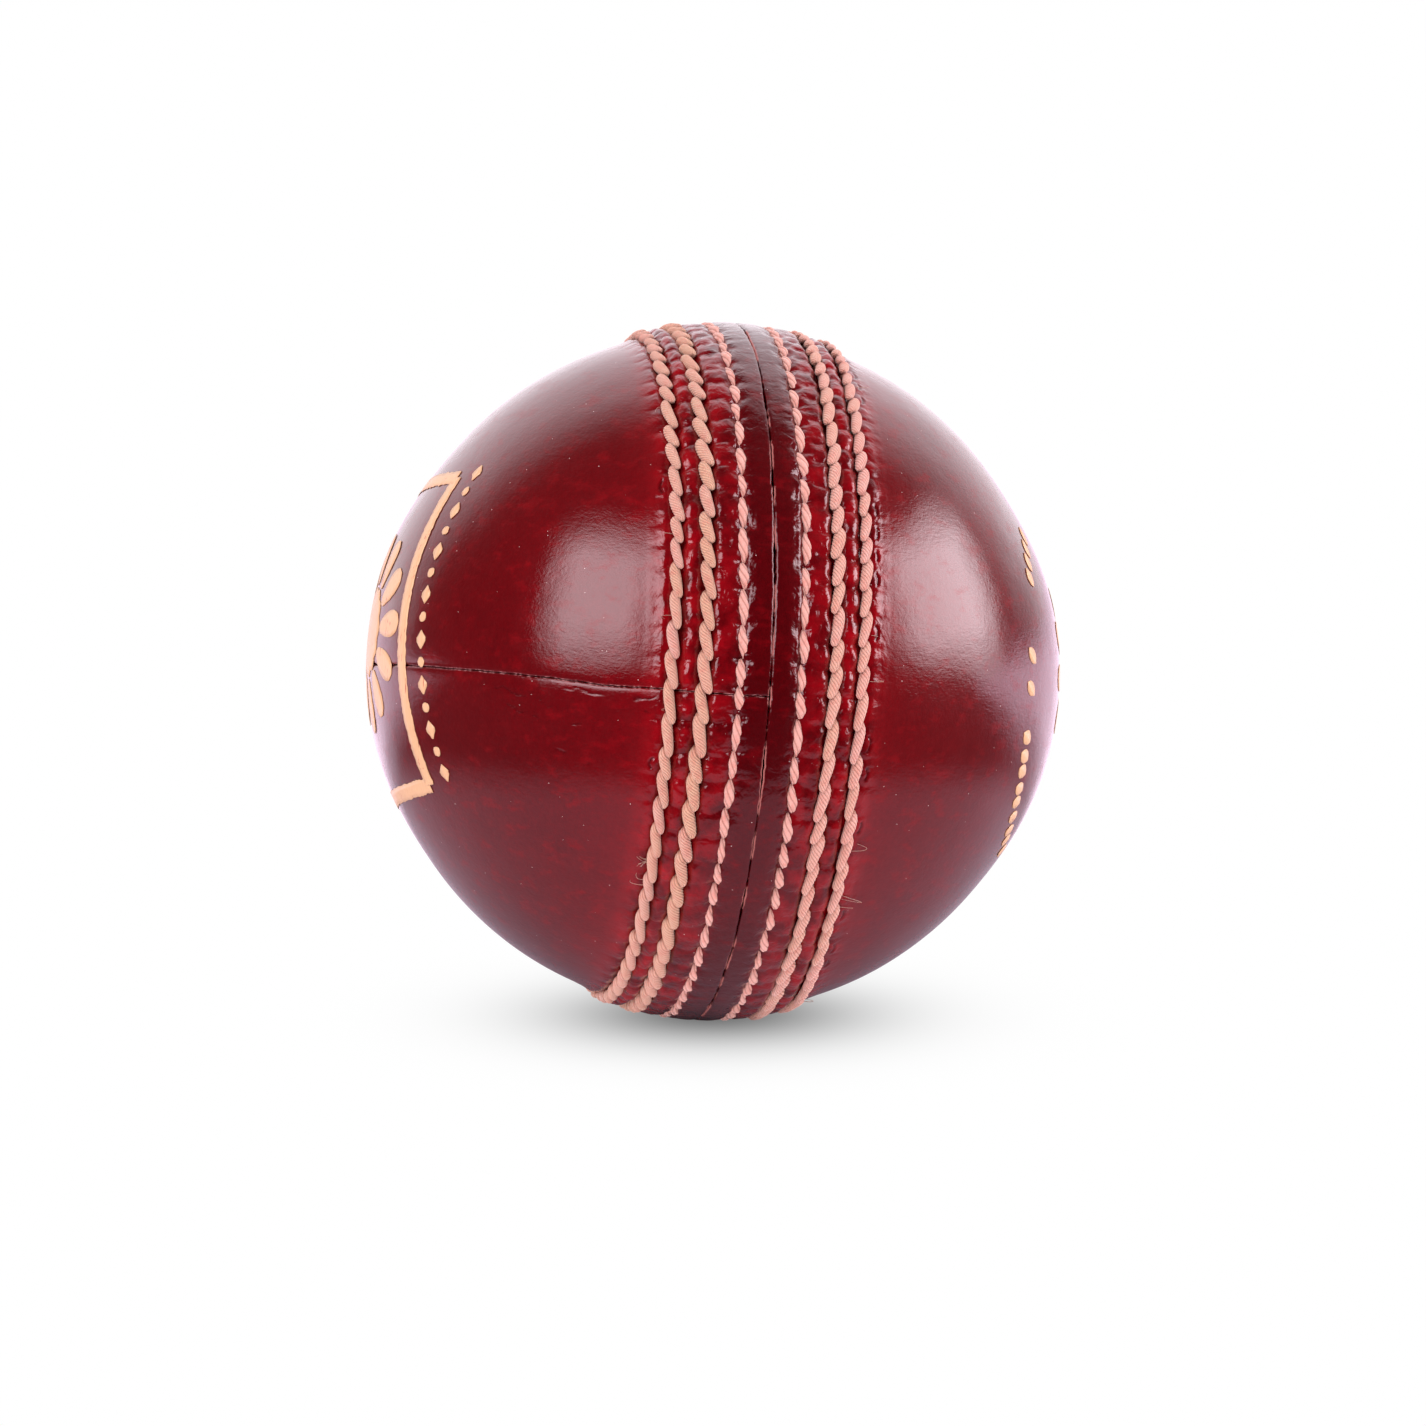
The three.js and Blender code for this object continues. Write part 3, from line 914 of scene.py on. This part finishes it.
def noise_of(place, scale, detail=2.0, roughness=0.5, distortion=0.0):
    inputs = {"Vector": place, "Scale": scale, "Detail": detail, "Roughness": roughness,
              "Distortion": distortion}
    return field(place.tree, "TexNoise", "Fac", inputs)


def attribute_of(tree, name):
    return field(tree, "Attribute", "Fac", attribute_name=name)


def relief_of(height):
    """A bump normal from a height in mm."""
    return field(height.tree, "Bump", "Normal", {"Height": height, "Distance": MM, "Strength": 1.0})


DEEP_RED = (0.038, 0.0002, 0.0009)
BRIGHT_RED = (0.27, 0.0016, 0.0050)
RED_SHEEN = (1.0, 0.02, 0.05)
RAW_LEATHER = (0.34, 0.12, 0.11)
PALE_FIBRE = (0.40, 0.17, 0.17)
DUST = (0.55, 0.42, 0.40)
LACQUER_IOR = 1.5


def leather():
    """Aniline-dyed leather under clear lacquer."""
    material, tree = material_of("red_leather_lacquered")
    place = millimetres(tree)
    seam = attribute_of(tree, "seam")
    gaps = noise_of(place, 0.42, 3.0, 0.55).span(0.38, 0.60, 1.0, 0.0)
    patches = 1.0 - gaps * seam.span(0, 1, 0.15, 0.8)
    clouds = noise_of(place, 0.07, 3.0).span(0.35, 0.65, -0.02, 0.03)
    fleck = noise_of(place, 2.4, 3.0, 0.6).span(0.3, 0.7, -0.035, 0.035)
    rubbed = noise_of(millimetres(tree, (1.0, 1.0, 0.6)), 0.45, 3.0, 0.6).span(0.54, 0.70)
    dye = attribute_of(tree, "dye") * patches + clouds + fleck + rubbed * 0.14
    raw = attribute_of(tree, "raw").span(0.35, 0.9)
    torn = noise_of(place, 2.2, 3.0).span(0.46, 0.60)
    fibre = attribute_of(tree, "crack").span(0.3, 0.8) * torn
    specks = field(tree, "TexVoronoi", "Distance", {"Vector": place, "Scale": 0.9})
    speck = specks.maths("LESS_THAN", 0.038) * noise_of(place, 0.35).maths("GREATER_THAN", 0.50)
    colour = dye.blend(DEEP_RED, BRIGHT_RED)
    for share, covering in ((raw, RAW_LEATHER), (fibre, PALE_FIBRE), (speck, DUST)):
        colour = share.blend(colour, covering)

    grain = noise_of(place, 2.6, 3.0, 0.6)
    streaks = noise_of(millimetres(tree, (0.9, 0.9, 0.22)), 1.0, 2.0, 0.6, 0.6)
    crinkle = noise_of(place, 1.3, 2.0, 0.5, 1.5)
    waves = noise_of(place, 0.22, 2.0)
    crumple = seam * noise_of(place, 1.0, 2.0, 0.5, 0.8)
    height = grain * 0.012 + streaks * 0.010 + crinkle * 0.011 + waves * 0.06 + crumple * 0.13
    relief = relief_of(height)
    gloss = noise_of(place, 0.5, 2.0).span(0.3, 0.7, 0.08, 0.13) - seam * 0.045
    coat = (1.0 - raw) * (1.0 - rubbed * 0.22)
    wire(tree, PRINCIPLED, Base_Color=colour, Roughness=0.36, Normal=relief,
         Specular_IOR_Level=0.22, Specular_Tint=RED_SHEEN,
         Coat_Weight=coat, Coat_Roughness=gloss, Coat_IOR=LACQUER_IOR, Coat_Normal=relief)
    return material


TAN_LINEN = (0.47, 0.245, 0.165)
PINK_LINEN = (0.50, 0.240, 0.205)
DYED_LINEN = (0.44, 0.125, 0.095)
# The last two colours are painted shade: in the grooves between plies, and where a stitch tucks under
# the one before or sinks into the leather.
PLY_SHADE = (0.21, 0.052, 0.028)
TUCKED_SHADE = (0.24, 0.060, 0.028)


def thread():
    """Waxed linen of fine plies, stained red by the leather, with painted shade in the grooves between
    plies, under the stitch before and where it sinks into the leather.
    """
    material, tree = material_of("linen_thread")
    place = millimetres(tree)
    stain = noise_of(place, 1.1, 3.0, 0.6).span(0.46, 0.72, 0.0, 0.55)
    ply = attribute_of(tree, "wound").maths("COSINE").maths("ABSOLUTE")
    # Painted shade: darker in the grooves between plies, under the stitch before and below the
    # leather's face.
    groove = ply.span(0.0, 0.55, 0.65, 0.0)
    tucked_shade = attribute_of(tree, "tuck").span(0.35, 0.9, 0.0, 0.85)
    buried_shade = attribute_of(tree, "depth").span(0.10, 0.6, 0.0, 0.7)
    painted_shade = tucked_shade.maths("MAXIMUM", buried_shade)
    colour = attribute_of(tree, "tone").blend(TAN_LINEN, PINK_LINEN)
    for share, shade in ((stain, DYED_LINEN), (groove, PLY_SHADE), (painted_shade, TUCKED_SHADE)):
        colour = share.blend(colour, shade)
    relief = relief_of(noise_of(place, 9.0, 3.0, 0.7) * 0.05 + ply * 0.07)
    wire(tree, PRINCIPLED, Base_Color=colour, Roughness=0.55, Specular_IOR_Level=0.3, Normal=relief,
         Sheen_Weight=0.2, Sheen_Roughness=0.5, Subsurface_Weight=0.15,
         Subsurface_Radius=(0.6, 0.3, 0.2), Subsurface_Scale=0.0005)
    return material


def foil():
    """Thin gold stamping foil, brushed and worn through in streaks."""
    material, tree = material_of("gold_foil_worn")
    place = millimetres(tree)
    brushed = noise_of(millimetres(tree, (0.25, 0.25, 2.2)), 1.0, 3.0, 0.6)
    gold = brushed.blend((0.46, 0.245, 0.13), (0.61, 0.355, 0.20))
    worn = brushed.span(0.60, 0.68) * noise_of(place, 0.5).span(0.5, 0.6)
    relief = relief_of(brushed * 0.02 + noise_of(place, 5.0) * 0.01)
    wire(tree, PRINCIPLED, Base_Color=worn.blend(gold, BRIGHT_RED), Metallic=0.15, Roughness=0.5,
         Specular_IOR_Level=0.3, Normal=relief,
         Coat_Weight=0.35, Coat_Roughness=0.15, Coat_IOR=LACQUER_IOR)
    return material


def granules(name, base, dark, light, size, roughness):
    """Pressed or sliced granules of a few shades, such as cork."""
    material, tree = material_of(name)
    place = millimetres(tree)
    cells = {"Vector": place, "Scale": 1 / size}
    shade = field(tree, "SeparateColor", 0, {0: field(tree, "TexVoronoi", "Color", cells)})
    pores = noise_of(place, 2.5 / size, 4.0, 0.7).span(0.52, 0.68)
    colour = pores.blend(shade.span(0.2, 0.9).blend(base, light), dark)
    from_centre = field(tree, "TexVoronoi", "Distance", cells)
    relief = relief_of(pores * (-0.08 * size) + from_centre * (-0.06 * size))
    wire(tree, PRINCIPLED, Base_Color=colour, Roughness=roughness, Normal=relief)
    return material


def wound_yarn():
    """Strands of worsted yarn wound round and round, crossing at a slant."""
    material, tree = material_of("wound_yarn")
    windings = []
    for stretch in ((1.0, 1.6, 1.2), (1.3, 1.1, 1.9)):
        inputs = {"Vector": millimetres(tree, stretch), "Scale": 0.45, "Distortion": 1.2, "Detail": 1.0}
        windings.append(field(tree, "TexWave", "Fac", inputs, bands_direction="DIAGONAL"))
    strands = windings[0].maths("MAXIMUM", windings[1])
    fuzz = noise_of(millimetres(tree), 5.0, 4.0, 0.7)
    # Painted shade: darker between the strands, where the windings are low.
    colour = strands.blend((0.30, 0.21, 0.12), (0.72, 0.63, 0.48))
    colour = fuzz.span(0.4, 0.8, 0.0, 0.5).blend(colour, (0.50, 0.40, 0.28))
    relief = relief_of(strands * 0.4 + fuzz * 0.08)
    wire(tree, PRINCIPLED, Base_Color=colour, Roughness=0.95, Normal=relief, Sheen_Weight=0.4)
    return material


def suede():
    """The rough flesh side of undyed leather."""
    material, tree = material_of("flesh_side_leather")
    place = millimetres(tree)
    nap = noise_of(place, 3.0, 5.0, 0.7)
    blotch = noise_of(place, 0.25, 3.0).span(0.35, 0.7)
    colour = blotch.blend((0.50, 0.32, 0.17), (0.36, 0.20, 0.10))
    colour = nap.span(0.45, 0.75, 0.0, 0.6).blend(colour, (0.60, 0.44, 0.28))
    wire(tree, PRINCIPLED, Base_Color=colour, Roughness=0.95, Sheen_Weight=0.3,
         Normal=relief_of(nap * 0.12))
    return material


def hidden_thread():
    """The same linen where the frame's own plain arc stands for it, with its twist as relief and
    painted shade in its grooves.
    """
    material, tree = material_of("hidden_linen_thread")
    inputs = {"Vector": millimetres(tree), "Scale": 0.8}
    ply = field(tree, "TexWave", "Fac", inputs, bands_direction="DIAGONAL")
    wire(tree, PRINCIPLED, Base_Color=ply.blend(PLY_SHADE, TAN_LINEN), Roughness=0.75,
         Normal=relief_of(ply * 0.08))
    return material


def finish_inside():
    """Gives the frame's own inner pieces their materials."""
    flesh_side = suede()
    finishes = {
        "core_nucleus": granules(
            "cork_rubber", (0.12, 0.07, 0.045), (0.02, 0.015, 0.012), (0.34, 0.19, 0.10), 1.1, 0.8),
        "cork_strip": granules(
            "sliced_cork", (0.42, 0.24, 0.11), (0.13, 0.06, 0.03), (0.58, 0.38, 0.20), 1.6, 0.9),
        "yarn_wrap": wound_yarn(),
        "seam_packing_ring": flesh_side,
        "backing_strip": flesh_side,
        "quarter_seam_thread": hidden_thread(),
    }
    for name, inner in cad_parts.items():
        for part_of_name, material in finishes.items():
            if part_of_name in name:
                inner.data.materials.clear()
                inner.data.materials.append(material)


# ---- The pieces ----

LEATHER = leather()
THREAD = thread()
FOIL = foil()

QUARTERS = (
    ("left_upper_leather", -1, 0.0),
    (CREASED_QUARTER, -1, TURN / 2),
    ("right_front_leather", 1, TURN / 4),
    ("right_back_leather", 1, TURN * 3 / 4),
)

# The number of plies, their lay and their depth, as sweep takes them.
SUPPORT_TWIST = {-1: (9, -3.2, PLY_DEPTH), 1: (7, -2.8, PLY_DEPTH)}
CLOSING_TWIST = (5, -6.5, PLY_DEPTH)
FIBRE_TWIST = (2, 1.0, 0.0)

ROWS = (
    ("left_outer_stitch", -1, "outer", OUTER, {"size": 0.92, "tone": 0.45, "seed": 101}),
    ("left_inner_stitch", -1, "inner", INNER, {"size": 1.03, "tone": 0.20, "seed": 102}),
    ("right_inner_stitch", 1, "inner", INNER, {"size": 0.98, "tone": 0.65, "seed": 103}),
    ("right_outer_stitch", 1, "outer", OUTER, {"size": 0.91, "tone": 0.80, "seed": 104}),
)


def build_closing_thread():
    rows = closing_beads(-1, 111), closing_beads(1, 112)
    centres, radii = (np.concatenate(both) for both in zip(*rows))
    sunk_below = CLOSING["radius"] - 0.10
    make_threads("closing_stitches", centres, radii, CLOSING_TWIST, 1.1, sunk_below, "closing_thread")


def build_fibres():
    centres = loose_fibres(np.random.default_rng(131))
    radii = np.full(centres.shape[:2], FIBRE_RADIUS) * np.linspace(1, 0.6, FIBRE_STEPS)
    make_threads("loose_fibres", centres, radii, FIBRE_TWIST, 0.5, SHOULDER_RADIUS - 1,
                 angles=FIBRE_SECTION)


def build_stamps():
    rng = np.random.default_rng(141)
    build_stamp("left_pole", -1, framed(rng) + rosette(rng), FRAME_LEAN)
    build_stamp("right_pole", 1, rosette(rng) + leaf_sprays(rng), 0.0)


for leather_quarter in QUARTERS:
    quarter(*leather_quarter)
for stitched in ROWS:
    support_row(*stitched)
build_closing_thread()
build_fibres()
build_stamps()
finish_inside()


# ---- Camera, light and floor ----

CAMERA_DISTANCE = 0.70
LENS = 169.4
AIM_BELOW = 0.00433  # the ball sits a little above the middle of the picture


def camera_axes(azimuth, elevation, roll):
    """Unit vectors to the picture's right, to its top and back to the camera."""
    a, e, r = (math.radians(angle) for angle in (azimuth, elevation, roll))
    back = Vector((math.sin(a) * math.cos(e), -math.cos(a) * math.cos(e), math.sin(e)))
    level = Vector((math.cos(a), math.sin(a), 0))
    right = level * math.cos(r) + back.cross(level) * math.sin(r)
    return right, back.cross(right), back


RIGHT, UP, BACK = camera_axes(azimuth=-9.6, elevation=3.8, roll=4.0)


def place_object(name, data, location, axes):
    made = bpy.data.objects.new(name, data)
    bpy.context.scene.collection.objects.link(made)
    made.matrix_world = Matrix.Translation(location) @ Matrix(axes).transposed().to_4x4()
    return made


def add_camera():
    data = bpy.data.cameras.new("camera")
    data.lens = LENS
    location = BACK * CAMERA_DISTANCE - UP * AIM_BELOW
    bpy.context.scene.camera = place_object("camera", data, location, (RIGHT, UP, BACK))


SOFTBOX_DISTANCE = 0.6
SOFTBOX_COLOUR = (1.0, 0.94, 1.0)
SOFT_EDGE = 0.28  # of a softbox's width, over which it fades


def soften_edges(light):
    """Makes a rectangular light fade towards its edges, as cloth over a softbox does."""
    light.use_nodes = True
    tree = light.node_tree
    place = field(tree, "NewGeometry", "Parametric")
    level = 1.0
    for axis in ("X", "Y"):
        from_middle = (field(tree, "SeparateXYZ", axis, {0: place}) - 0.5).maths("ABSOLUTE")
        level = from_middle.span(0.5 - SOFT_EDGE, 0.5, 1.0, 0.0) * level
    wire(tree, "Emission", Strength=level)


def softbox(name, azimuth, elevation, wide, tall, radiance):
    """A rectangular light facing the ball, from an azimuth that is 0 at the camera and 90 to the
    picture's right. wide and tall are the angles it fills, in degrees."""
    data = bpy.data.lights.new(name, "AREA")
    data.shape = "RECTANGLE"
    data.size = 2 * SOFTBOX_DISTANCE * math.tan(math.radians(wide / 2))
    data.size_y = 2 * SOFTBOX_DISTANCE * math.tan(math.radians(tall / 2))
    data.color = SOFTBOX_COLOUR
    data.energy = math.pi * data.size * data.size_y * radiance
    soften_edges(data)
    a, e = math.radians(azimuth), math.radians(elevation)
    direction = (BACK * math.cos(a) + RIGHT * math.sin(a)) * math.cos(e) + UP * math.sin(e)
    across = UP.cross(direction).normalized()
    axes = (across, direction.cross(across), direction)
    place_object(name, data, direction * SOFTBOX_DISTANCE, axes).visible_camera = False


FLOOR_SEEN_AT = math.radians(9.3)  # how far the camera stands above the floor
FLOOR_NORMAL = UP * math.cos(FLOOR_SEEN_AT) + BACK * math.sin(FLOOR_SEEN_AT)
FLOOR_SIZE = 4.0
# The sheet's colour in the ball's reflections: pink, a painted stand-in for red light the ball throws
# on it.
FLOOR_PAINTED_BOUNCE_TINT = (0.75, 0.60, 0.72)
FLOOR_FRONT = (0.0765, 0.10625)  # the sheet's reflection fades out between these distances
FLOOR_BACK = (0.03, 0.10)  # and grows to full brightness between these distances behind the ball
BESIDE_BALL = 0.4  # how bright the sheet's reflection is beside the ball
FAR_IN_FRONT = 0.02
FLOOR_GLOW = (1.0, 0.93, 0.96)
FLOOR_BOUNCE = 2.4  # radiance of the sheet as it lights the ball's matt parts
PAINTED_SHADOW_DEPTH = 0.84  # how much of the light the painted shadow takes away, at the point of contact
PAINTED_SHADOW_WIDTH = 0.455  # of the painted shadow, as a share of the ball's radius


def lowest_on(direction):
    """How far the ball reaches against a direction, in metres."""
    lowest = 0.0
    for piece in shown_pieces():
        places = np.zeros(len(piece.data.vertices) * 3)
        piece.data.vertices.foreach_get("co", places)
        lowest = min(lowest, float((places.reshape(-1, 3) @ np.array(direction)).min()))
    return lowest


def floor_material():
    """A white sheet, which the camera sees overexposed, but for a painted soft shadow round the ball.
    To matt surfaces it glows, with the same painted shadow; reflections see it as a lamp-lit sheet.
    """
    material, tree = material_of("floor_white")
    material.cycles.emission_sampling = "NONE"  # so that each kind of ray sees its own floor
    place = field(tree, "TexCoord", "Object")
    distance = field(tree, "VectorMath", "Value", {0: place}, operation="LENGTH")
    near = distance.span(*FLOOR_FRONT, BESIDE_BALL, FAR_IN_FRONT)
    level = near.maths("MAXIMUM", field(tree, "SeparateXYZ", "Y", {0: place}).span(*FLOOR_BACK))
    colour = level.blend((0, 0, 0), FLOOR_PAINTED_BOUNCE_TINT)
    wire(tree, PRINCIPLED, Base_Color=colour, Roughness=0.9, Specular_IOR_Level=0.0)
    # A painted shadow, not cast by the lamps: the light is cut most at the point of contact and less
    # further out.
    share = distance * (1 / (PAINTED_SHADOW_WIDTH * NOMINAL_RADIUS * MM))
    falloff = (share.maths("POWER", 2.0) * -1.0).maths("EXPONENT")
    painted_shadow_lit = 1.0 - falloff * PAINTED_SHADOW_DEPTH
    mixed = Field(tree, tree.nodes[PRINCIPLED].outputs[0])
    rays = (("Is Diffuse Ray", FLOOR_GLOW, painted_shadow_lit * FLOOR_BOUNCE), ("Is Camera Ray", (1, 1, 1), painted_shadow_lit))
    for ray, tint, strength in rays:
        light = field(tree, "Emission", 0, {"Color": tint, "Strength": strength})
        mixed = field(tree, "MixShader", 0, {0: field(tree, "LightPath", ray), 1: mixed, 2: light})
    wire(tree, "Material Output", Surface=mixed)
    return material


def add_floor():
    half = FLOOR_SIZE / 2
    corners = [(-half, -half, 0), (half, -half, 0), (half, half, 0), (-half, half, 0)]
    mesh = bpy.data.meshes.new("floor")
    mesh.from_pydata(corners, [], [(0, 1, 2, 3)])
    mesh.materials.append(floor_material())
    forward = FLOOR_NORMAL.cross(RIGHT)
    location = FLOOR_NORMAL * lowest_on(FLOOR_NORMAL)
    place_object("floor", mesh, location, (RIGHT, forward, FLOOR_NORMAL))


BACKDROP_RADIANCE = 1.35
BACKDROP_TINT = (1.0, 0.90, 0.96)
FRONT_RADIANCE = 0.01
OVERHEAD_EXTRA = 1.0


def add_world():
    """White to the camera, and brighter overhead to matt surfaces. Gloss mirrors a backdrop
    behind the ball, whose edge dips to the right, and a dark room in front."""
    world = bpy.data.worlds.new("studio")
    bpy.context.scene.world = world
    world.cycles.sampling_method = "NONE"  # so that each kind of ray sees its own world
    world.use_nodes = True
    tree = world.node_tree
    direction = field(tree, "TexCoord", "Generated")

    def component(axis):
        inputs = {0: direction, 1: tuple(axis)}
        return field(tree, "VectorMath", "Value", inputs, operation="DOT_PRODUCT")

    to_right = component(RIGHT).span(-0.3, 0.3, -1.0, 1.0)
    edge = to_right * 0.125 + 0.725
    rise = to_right * 0.175 + 0.525
    behind = component(-BACK) + rise * component(UP).maths("MAXIMUM", -0.1)
    backdrop = (behind - edge).span(-0.18, 0.15, FRONT_RADIANCE, BACKDROP_RADIANCE)
    overhead = component(UP).span(0.0, 0.9, -0.3, OVERHEAD_EXTRA)
    glossy = field(tree, "LightPath", "Is Glossy Ray")
    matt = field(tree, "LightPath", "Is Diffuse Ray")
    level = matt * overhead + glossy * (backdrop - 1.0) + 1.0
    wire(tree, "Background", Strength=level, Color=glossy.blend((1, 1, 1), BACKDROP_TINT))


add_camera()
softbox("softbox_left", -40, 23, 44, 50, 6.0)
softbox("softbox_right", 87, 19, 56, 43, 7.4)
add_floor()
add_world()
bpy.context.scene.view_settings.view_transform = "Standard"
